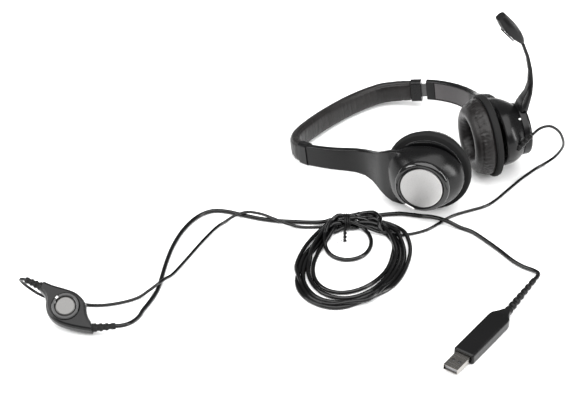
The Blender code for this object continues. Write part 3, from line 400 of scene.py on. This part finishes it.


# The second colour of each plastic is its painted edge highlight, shown on convex edges.
SATIN = plastic("satin_plastic", (0.0016, 0.0016, 0.0017), (0.005, 0.005, 0.0052), 0.25, 0.04, 2600.0, 0.00001, 0.2)
GLOSS = plastic("gloss_plastic", (0.001, 0.001, 0.0011), (0.003, 0.003, 0.0032), 0.06, 0.02, 300.0, 0.000004, 0.5)
MATTE = plastic("matt_plastic", (0.009, 0.009, 0.009), (0.014, 0.014, 0.014), 0.60, 0.06, 1800.0, 0.00005, 0.05)
CORD = plastic("cord_jacket", (0.0012, 0.0012, 0.0013), (0.002, 0.002, 0.0021), 0.20, 0.05, 1200.0, 0.000004, 0.28)
BOOT = plastic("boot_rubber", (0.0016, 0.0016, 0.0016), (0.004, 0.004, 0.004), 0.38, 0.06, 1500.0, 0.00002, 0.15)
GREY = plastic("grey_plastic", (0.19, 0.19, 0.20), (0.26, 0.26, 0.27), 0.42, 0.05, 1500.0, 0.00001)
PRINT = plastic("white_print", (0.78, 0.78, 0.77), (0.82, 0.82, 0.81), 0.45, 0.04, 1500.0, 0.00001)
LEATHER = leatherette("leatherette", (0.0032, 0.0026, 0.0025), (0.0070, 0.0058, 0.0056))
THREAD = woven("sewing_thread", (0.006, 0.005, 0.005), (0.016, 0.014, 0.013))
CLOTH = woven("speaker_cloth", (0.002, 0.002, 0.002), (0.010, 0.010, 0.010))
SILVER = brushed("brushed_silver", (0.50, 0.495, 0.49), 0.34, (0.0, 0.0, 0.75))
STEEL = brushed("spring_steel", (0.10, 0.10, 0.10), 0.30, (0.0, 0.0, 0.0))
NICKEL = brushed("nickel", (0.36, 0.345, 0.325), 0.20, (0.0, 0.0, 1.4))

FINISH = {"satin_black": SATIN, "gloss_black": GLOSS, "matte_black": MATTE, "leatherette": LEATHER,
          "foam": CLOTH, "brushed_silver": SILVER, "spring_steel": STEEL, "nickel": NICKEL,
          "cord_rubber": BOOT, "white_print": PRINT, "driver_grey": GREY}
BUTTON = brushed("satin_silver", (0.14, 0.138, 0.135), 0.42, (0.0, 0.0, 0.75))
# The far arm's inner cover: the satin black made lighter, a painted reflection of the lights on that face.
PAINTED_REFLECTION_COVER = plastic("cover_painted_reflection", (0.035, 0.032, 0.033), (0.05, 0.046, 0.047), 0.42, 0.05, 2200.0, 0.00003, 0.35)
SPECIAL = {"arm_cover_far": PAINTED_REFLECTION_COVER, "mute_button": BUTTON}

REDRAWN = ("headband_cover", "ear_pad_near", "ear_pad_far", "foam_disc_near", "foam_disc_far", "twist_tie",
           "cord_thin_to_coil", "cord_thin_to_pod", "cord_thick_to_coil", "cord_coil", "cord_thick_to_plug")


THIN_PIECES = ("cord_gland", "pod_boot_in", "pod_lower_shell", "pod_upper_shell", "volume_dial", "dial_mark",
               "mute_button")
THICK_PIECES = ("pod_boot_out", "plug_boot", "plug_body", "plug_shell", "plug_tongue")
SHARP_FROM = math.radians(28.0)


def paint_frame():
    """Gives every rigid piece its finish; all but the pieces of the remote, the plug and the gland are drawn on a
    copy whose round faces are drawn round.
    """
    rows = {row["node"]: row for row in frame["record"]["subparts"]}
    for name, obj in frame["nodes"].items():
        material = SPECIAL.get(name, FINISH[rows[name]["material_slot"]])
        for slot in obj.material_slots:
            slot.material = material
        if name in REDRAWN or name in THIN_PIECES or name in THICK_PIECES:
            continue
        mesh = obj.data.copy()
        mesh.transform(obj.matrix_world)
        mesh.materials.clear()
        mesh.materials.append(material)
        weld(mesh)
        mesh.shade_smooth()
        mesh.set_sharp_from_angle(angle=SHARP_FROM)
        skin = bpy.data.objects.new("look_" + name, mesh)
        bpy.context.scene.collection.objects.link(skin)
        weighted = skin.modifiers.new("faces", "WEIGHTED_NORMAL")
        weighted.keep_sharp = True
        weighted.weight = 80
        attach(skin, body_of(name))
        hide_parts(name)


def body_of(node):
    """The name of the body that a node belongs to."""
    for body, members in frame["record"]["behaviour"]["bodies"].items():
        if node in members:
            return body
    raise KeyError(node)


# ---- cords ---------------------------------------------------------------------------------------
def tie_point(lane, along):
    """A point of the pass in one lane of the tie."""
    across, height = lane
    x, y = TIE + TIE_ALONG * along + TIE_ACROSS * across
    return (x, y, height)


def one_turn(index):
    """Guide points of one turn, from its pass through the tie round to the next pass."""
    x, y, half_length, half_width, rotation = TURNS[index]
    long_way = np.array([math.cos(math.radians(rotation)), math.sin(math.radians(rotation))])
    wide_way = np.array([-long_way[1], long_way[0]])
    centre = np.array([x, y])
    to_tie = TIE - centre
    start = math.atan2(to_tie @ wide_way / half_width, to_tie @ long_way / half_length)
    count = 40 if half_length > SMALL_TURN else 22
    points = list(TOP_LOOP) if index == TOP_LOOP_TURN else []
    for i in range(1, count):
        share = i / count
        from_tie = min(share, 1 - share) * 2 * math.pi * half_length
        if from_tie <= TIE_CLEAR or (index == TOP_LOOP_TURN and share < TOP_LOOP_SHARE):
            continue
        angle = start - 2 * math.pi * share
        spot = centre + long_way * half_length * math.cos(angle) + wide_way * half_width * math.sin(angle)
        across, height = LANES[index] if share < 0.5 else LANES[index + 1]
        in_tie = TIE + TIE_ALONG * ((spot - TIE) @ TIE_ALONG) + TIE_ACROSS * across
        hold = math.exp(-(from_tie / GATHER_REACH) ** 2)
        spot = spot * (1 - hold) + in_tie * hold
        height = THICK_RADIUS + LIFTS[index] * (1 - hold) + (height - THICK_RADIUS) * hold
        points.append((spot[0], spot[1], height))
    return points


def thick_guide():
    """Guide points of the thick cord, from the remote round the coil to the plug."""
    points = list(THICK_TO_COIL)
    for index in range(len(TURNS)):
        points += [tie_point(LANES[index], along) for along in TIE_PASS]
        points += one_turn(index)
    points += [tie_point(LANES[-1], along) for along in TIE_PASS]
    return points + WINDING_FROM_TIE + THICK_TO_PLUG


def thin_guide():
    """Guide points of the thin cord, from the far cup through the tie to the remote."""
    through = [tie_point(THIN_LANE, along) for along in TIE_PASS[::-1]]
    return THIN_TO_COIL + THIN_INTO_TIE + through + THIN_FROM_TIE + THIN_TO_POD


def push_apart(place, one, two, need, moving):
    """Moves each pair of points that are too close away from each other."""
    gap = place[two] - place[one]
    distance = np.linalg.norm(gap, axis=1) + 1e-9
    short = need - distance
    hit = short > 0
    push = gap[hit] / distance[hit][:, None] * (short[hit] * PUSH_SHARE)[:, None]
    move = np.zeros_like(place)
    count = np.zeros(len(place))
    np.add.at(move, one[hit], -push)
    np.add.at(move, two[hit], push)
    np.add.at(count, one[hit], 1.0)
    np.add.at(count, two[hit], 1.0)
    move /= np.maximum(count, 1.0)[:, None] ** 0.5
    move[~moving] = 0.0
    place += move


def settle(lines, radii):
    """Lays the cords on each other: they sink to the table, keep clear of one another and stay smooth."""
    own = np.concatenate([np.full(len(line), k) for k, line in enumerate(lines)])
    step = np.concatenate([np.arange(len(line)) for line in lines])
    rest = np.vstack(lines)
    place = rest.copy()
    radius = np.array(radii)[own]
    (west, east), (south, north) = COIL_ZONE
    free = (rest[:, 0] > west) & (rest[:, 0] < east) & (rest[:, 1] > south) & (rest[:, 1] < north)
    inside = np.flatnonzero(free)
    pairs = np.triu_indices(len(inside), 1)
    one, two = inside[pairs[0]], inside[pairs[1]]
    apart = (own[one] != own[two]) | (abs(step[one] - step[two]) > STEPS_APART)
    keep = apart & (np.linalg.norm(rest[one, :2] - rest[two, :2], axis=1) < NEAR_ENOUGH)
    one, two = one[keep], two[keep]
    need = radius[one] + radius[two] + CORD_CLEARANCE
    from_tie = rest[:, :2] - TIE
    moving = free & ~((abs(from_tie @ TIE_ALONG) < TIE_ZONE[0]) & (abs(from_tie @ TIE_ACROSS) < TIE_ZONE[1]))
    joins = np.flatnonzero(np.diff(own))
    moving[np.concatenate([[0, len(rest) - 1], joins, joins + 1])] = False
    at = np.flatnonzero(moving)
    low = radius + TABLE_CLEARANCE
    for turn in range(SETTLE_ROUNDS):
        sinking = turn <= SETTLE_ROUNDS * SINKING_SHARE
        place[at, :2] += (rest[at, :2] - place[at, :2]) * PULL_BACK
        place[at, 2] -= SINK_STEP if sinking else 0.0
        middle = (place[at - 1] + place[at + 1]) / 2
        place[at] += (middle - place[at]) * (0.5 if sinking else 0.25)
        for _ in range(2):
            push_apart(place, one, two, need, moving)
        place[moving, 2] = np.maximum(place[moving, 2], low[moving])
    return [place[own == k] for k in range(len(lines))]


def make_cords():
    """Both cords, each as one length, with the pieces that they carry."""
    lines = [smooth_line(thick_guide(), CORD_SPACING), smooth_line(thin_guide(), CORD_SPACING)]
    thick, thin = settle(lines, (THICK_RADIUS, THIN_RADIUS))
    thick_cord = put_curve("cord_thick", [thick], THICK_RADIUS, CORD, "far_yoke")
    thin_cord = put_curve("cord_thin", [thin], THIN_RADIUS, CORD, "far_yoke")
    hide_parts("cord_thick_to_coil", "cord_coil", "cord_thick_to_plug")
    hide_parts("cord_thin_to_coil", "cord_thin_to_pod")
    tie = make_tie()


def make_tie():
    """A coated wire wound round the bundle, its two ends twisted together, and the bare end of the wire."""
    wraps = []
    for i in range(WRAP_STEPS + 1):
        a = 2 * math.pi * i / WRAP_STEPS_ROUND
        across, height = WRAP_HALF[0] * math.cos(a), WRAP_MIDDLE + WRAP_HALF[1] * math.sin(a)
        along = -WRAP_LENGTH / 2 + WRAP_LENGTH * i / WRAP_STEPS
        wraps.append(tie_point((across, height), along))
    twist = []
    aside = TIE_ALONG[::-1]
    for phase in (0.0, math.pi):
        line = []
        for i in range(TWIST_STEPS + 1):
            share = i / TWIST_STEPS
            a = phase + share * TWIST_ANGLE
            offset = np.array([aside[0] * math.cos(a), aside[1] * math.cos(a), math.sin(a)]) * TWIST_RADIUS
            line.append(tuple(TWIST_START + (TWIST_END - TWIST_START) * share + offset))
        twist.append(line)
    strap = put_curve("tie_wraps", [wraps], WRAP_WIRE, BOOT, "far_yoke")
    ends = put_curve("tie_twist", twist, TWIST_WIRE, BOOT, "far_yoke")
    wire = put_curve("tie_wire", [BARE_WIRE], BARE_RADIUS, STEEL, "far_yoke")
    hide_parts("twist_tie")
    return [strap, ends, wire]


# ---- ear pads ------------------------------------------------------------------------------------
def pad_point(angle, radius, height, seed):
    """A point of the pad's skin: gathers on the side wall, a seam, a hem, and a soft uneven swell."""
    ca, sa = math.cos(angle), math.sin(angle)
    wall = hill(height, -9.0, 4.2) * max(0.0, min(1.0, (radius - PAD_MIDDLE[0]) / 5.0))
    move = -abs(wavy(ca * 3.0, sa * 3.0, height * 0.04, 5.2, seed)) ** 0.6 * 1.7 * wall
    move += hill(radius, 16.5, 2.2) * 0.45 * wavy(ca * 2.0, sa * 2.0, height * 0.05, 4.0, seed + 9.0)
    if height < -8.0:
        move += -0.55 * hill(radius, 28.9, 0.55)
    if radius > 28.0:
        move += -0.5 * hill(height, -4.3, 0.45)
    if height < -3.4:
        move += 0.35 * wavy(ca, sa, height * 0.03, 2.2, seed + 5.0)
    out = (radius - PAD_MIDDLE[0]) / PAD_HALF[0]
    up = (height - PAD_MIDDLE[1]) / PAD_HALF[1]
    size = math.hypot(out, up) + 1e-6
    radius += move * out / size
    return np.array([radius * ca, radius * sa, min(height + move * up / size, PAD_BASE)])


def make_pad(side, matrix, body, seed):
    """A leatherette ring over soft foam, with a stitch line where its face begins."""
    section = smooth_line(PAD_PROFILE + PAD_PROFILE[:1], PAD_SPACING)[:-1]
    angles = [2 * math.pi * i / PAD_STEPS for i in range(PAD_STEPS)]
    rings = [[pad_point(angle, radius, height, seed) for radius, height in section] for angle in angles]
    pad = grid_mesh("pad_" + side, rings, True, matrix, LEATHER, body)
    face_out(pad)
    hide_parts("ear_pad_" + side)
    stitches = []
    for i in range(PAD_STITCHES):
        line = []
        for share, height in PAD_STITCH:
            angle = 2 * math.pi * (i + share) / PAD_STITCHES
            line.append((PAD_STITCH_RADIUS * math.cos(angle), PAD_STITCH_RADIUS * math.sin(angle), height))
        stitches.append(line)
    thread = put_curve("pad_stitching_" + side, stitches, PAD_THREAD, THREAD, body, 1, matrix)


def make_speaker_cloth(side, matrix, body):
    """The cloth disc in the pad's hollow, bulging a little and slightly slack."""
    rings = []
    for r in np.linspace(15.1, 0.4, 22):
        ring = []
        for i in range(72):
            a = 2 * math.pi * i / 72
            x, y = r * math.cos(a), r * math.sin(a)
            slack = 0.18 * wavy(x, y, 0.0, 0.22, 3.0) * (1.0 - r / CLOTH_RADIUS)
            ring.append(np.array([x, y, -3.4 - 1.5 * (1.0 - (r / CLOTH_RADIUS) ** 4) + slack]))
        rings.append(ring)
    rings.insert(0, [np.array([p[0], p[1], -3.02]) for p in rings[0]])
    cloth = grid_mesh("speaker_cloth_" + side, rings, False, matrix, CLOTH, body)
    face_out(cloth)
    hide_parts("foam_disc_" + side)


# ---- headband ------------------------------------------------------------------------------------
def band_place(track, s):
    """Point on the band's outer face at distance s, and the unit vector inwards from it."""
    along, fine = track

    def at(distance):
        return np.array([np.interp(distance, along, fine[:, 0]), np.interp(distance, along, fine[:, 1])])

    across = at(min(s + 1.6, along[-1])) - at(max(s - 1.6, 0.0))
    direction = across / np.linalg.norm(across)
    return at(s), np.array([direction[1], -direction[0]])


def band_point(spot, inward, across, depth):
    """A point of the band, from its place across the band and its depth towards the outer face."""
    x, z = spot + inward * (BAND_THICKNESS / 2 - depth)
    return np.array([x, z, across])


def band_skin_point(angle, s, tuck, gather):
    """Where the cover's skin lies in the band's section: crowned, with folds and a sewn edge."""
    half_depth = BAND_THICKNESS / 2
    w, t = boxy(BAND_HALF_WIDTH, math.cos(angle), 3.4), boxy(half_depth, math.sin(angle), 2.7)
    fold = wavy(s * 0.30, w * 0.10, t * 0.12, 1.0, 1.7) + 0.6 * wavy(s * 0.8, w * 0.16, t * 0.2, 1.0, 7.3)
    move = -0.55 * gather * max(fold, 0.0) ** 0.8 - 0.55 * tuck
    if abs(t) > 2.4:
        move += -0.40 * hill(abs(w), 7.5, 0.38)
    size = math.hypot(w / BAND_HALF_WIDTH, t / half_depth) + 1e-6
    return w + move * (w / BAND_HALF_WIDTH) / size * 0.5, t + move * (t / half_depth) / size


def band_stitches(track, start, end):
    """Short stitches along both edges of the cover, on both faces."""
    stitches = []
    for side in (-1.0, 1.0):
        for face, inner in ((0.28, 1.0), (BAND_THICKNESS - 0.28, -1.0)):
            for i in range(int((end - start) / STITCH_PITCH)):
                line = []
                for share, sink in ((0.15, 0.10), (0.45, -0.10), (0.75, 0.10)):
                    spot, inward = band_place(track, start + 1.0 + (i + share) * STITCH_PITCH)
                    x, z = spot + inward * (face + inner * sink)
                    line.append((x, z, side * 6.9))
                stitches.append(line)
    return stitches


def make_band():
    """The padded cover: a crowned tube with a sewn edge, gathered towards its ends, hollow for the slide strips."""
    fine = smooth_line(BAND_OUTLINE, 0.8)
    track = (distances(fine), fine)
    start, end = COLLAR_LENGTH + GAP, track[0][-1] - COLLAR_LENGTH - GAP
    angles = [2 * math.pi * j / BAND_AROUND for j in range(BAND_AROUND)]
    outer, inner = [], []
    for i in range(BAND_STEPS):
        s = start + (end - start) * i / (BAND_STEPS - 1)
        spot, inward = band_place(track, s)
        edge = min(s - start, end - s)
        tuck, gather = hill(edge, 0.0, BAND_TUCK), 0.35 + 0.65 * hill(edge, 0.0, BAND_GATHER)
        outer.append([band_point(spot, inward, *band_skin_point(angle, s, tuck, gather)) for angle in angles])
        hollow = [(boxy(BAND_HOLLOW[0], math.cos(angle), 6.0), boxy(BAND_HOLLOW[1], math.sin(angle), 6.0))
                  for angle in angles]
        inner.append([band_point(spot, inward, across, depth) for across, depth in hollow])
    band = grid_mesh("band_cover", outer + inner[::-1], True, ARCH, LEATHER, "headband")
    face_out(band)
    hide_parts("headband_cover")
    stitches = band_stitches(track, start, end)
    thread = put_curve("band_stitching", stitches, BAND_THREAD, THREAD, "headband", 1, ARCH)


# ---- small details -------------------------------------------------------------------------------
def make_painted_glint():
    """A small pale raised dot on the far cup: a painted highlight where light glints on the dome."""
    place = FAR_CUP @ Matrix.Translation((0.0, GLINT_AT[1] * MM, 0.0))
    rings = []
    for r, h in GLINT_OUTLINE:
        angles = [2 * math.pi * i / 24 for i in range(24)]
        rings.append([np.array([GLINT_AT[0] + r * math.cos(a), r * math.sin(a), h]) for a in angles])
    light = grid_mesh("painted_glint", rings, False, place, PRINT, body_of("yoke_far"))
    face_out(light)


# ---- floor, light and camera ---------------------------------------------------------------------
FLOOR_REACH, FLOOR_DROP = 6.0, 0.0002                # metres
CAMERA_SENSOR, CAMERA_LENS = 36.0, 109.6
CAMERA_PLACE = (0.7606, -0.9476, 0.8481)             # metres
CAMERA_FORWARD, CAMERA_RIGHT = (-0.5783, 0.5721, -0.5817), (0.7033, 0.7109, 0.0)
SURROUNDINGS = 0.30


def make_stage():
    """The pale table under the headset."""
    mat, tree, shader = shader_of("floor_white", (0.88, 0.88, 0.88), 0.6)
    tone = noise_of(tree, place_of(tree), 3.0, 2.0)
    tree.links.new(blended(tree, tone, (0.87, 0.87, 0.87), (0.89, 0.89, 0.89)), shader.inputs["Base Color"])
    mesh = bpy.data.meshes.new("floor")
    corners = [(-FLOOR_REACH, -FLOOR_REACH, 0.0), (FLOOR_REACH, -FLOOR_REACH, 0.0),
               (FLOOR_REACH, FLOOR_REACH, 0.0), (-FLOOR_REACH, FLOOR_REACH, 0.0)]
    mesh.from_pydata(corners, [], [(0, 1, 2, 3)])
    mesh.materials.append(mat)
    floor = bpy.data.objects.new("floor", mesh)
    floor.location.z = -FLOOR_DROP
    bpy.context.scene.collection.objects.link(floor)


def soft_light(name, place, aim, size, power):
    """A large rectangular light that faces the aim."""
    data = bpy.data.lights.new(name, "AREA")
    data.shape = "RECTANGLE"
    data.size, data.size_y = size
    data.energy = power
    light = bpy.data.objects.new(name, data)
    light.location = place
    light.rotation_euler = (Vector(aim) - Vector(place)).to_track_quat("-Z", "Y").to_euler()
    bpy.context.scene.collection.objects.link(light)


def make_light():
    """Dim white surroundings, a large light from above, and two smaller ones for the edges."""
    world = bpy.data.worlds.new("studio")
    world.use_nodes = True
    background = world.node_tree.nodes["Background"]
    background.inputs["Color"].default_value = (1.0, 1.0, 1.0, 1.0)
    background.inputs["Strength"].default_value = SURROUNDINGS
    bpy.context.scene.world = world
    soft_light("key", (0.5, -0.4, 1.9), (0.0, -0.1, 0.0), (3.0, 3.0), 120.0)
    soft_light("side", (1.5, 0.7, 0.7), (0.0, 0.0, 0.08), (0.35, 1.2), 22.0)
    soft_light("front", (-0.6, -1.4, 0.9), (0.0, 0.0, 0.05), (1.2, 0.5), 22.0)
    bpy.context.scene.view_settings.view_transform = "Standard"


def make_camera():
    """The camera, where the photo was taken from."""
    data = bpy.data.cameras.new("camera")
    data.sensor_width = CAMERA_SENSOR
    data.lens = CAMERA_LENS
    data.clip_end = 20.0
    camera = bpy.data.objects.new("camera", data)
    forward = Vector(CAMERA_FORWARD).normalized()
    right = Vector(CAMERA_RIGHT).normalized()
    matrix = Matrix((right, right.cross(forward), -forward)).transposed().to_4x4()
    matrix.translation = Vector(SHIFT * MM) + Vector(CAMERA_PLACE)
    camera.matrix_world = matrix
    bpy.context.scene.collection.objects.link(camera)
    bpy.context.scene.camera = camera


paint_frame()
make_camera()
make_light()
make_stage()
make_cords()
make_band()
for side, matrix, seed in (("near", NEAR_CUP, 0.4), ("far", FAR_CUP, 3.1)):
    make_pad(side, matrix, side + "_cup", seed)
    make_speaker_cloth(side, matrix, side + "_cup")
make_painted_glint()
